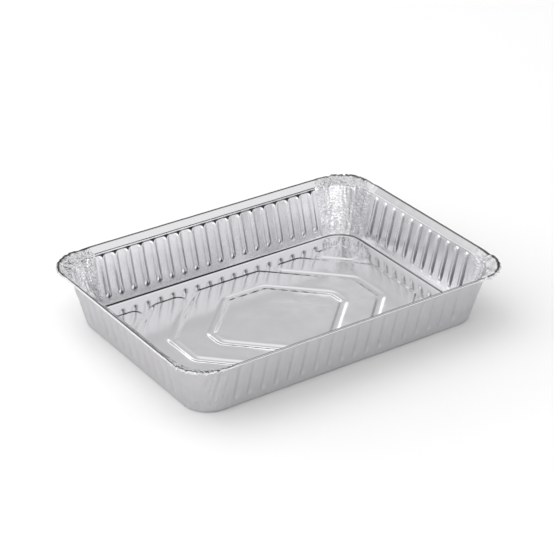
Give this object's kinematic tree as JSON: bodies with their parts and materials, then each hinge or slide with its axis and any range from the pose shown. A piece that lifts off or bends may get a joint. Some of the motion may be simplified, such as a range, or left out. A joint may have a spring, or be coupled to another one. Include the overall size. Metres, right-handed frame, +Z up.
{
  "type": "foil tray",
  "caption": "Shallow oblong roasting and baking tray pressed from aluminium foil, with ribbed leaning walls, an embossed base and a rolled rim.",
  "frame": {"origin": "centre of the tray's footprint, on the surface it stands on", "axes": "+X along the long walls, +Y along the short walls, +Z up out of the mouth"},
  "size_m": [0.33, 0.2424, 0.0537],
  "materials": {
    "foil": "bright rolled foil"
  },
  "bodies": {
    "root": {"tray": "foil"}
  },
  "joints": []
}
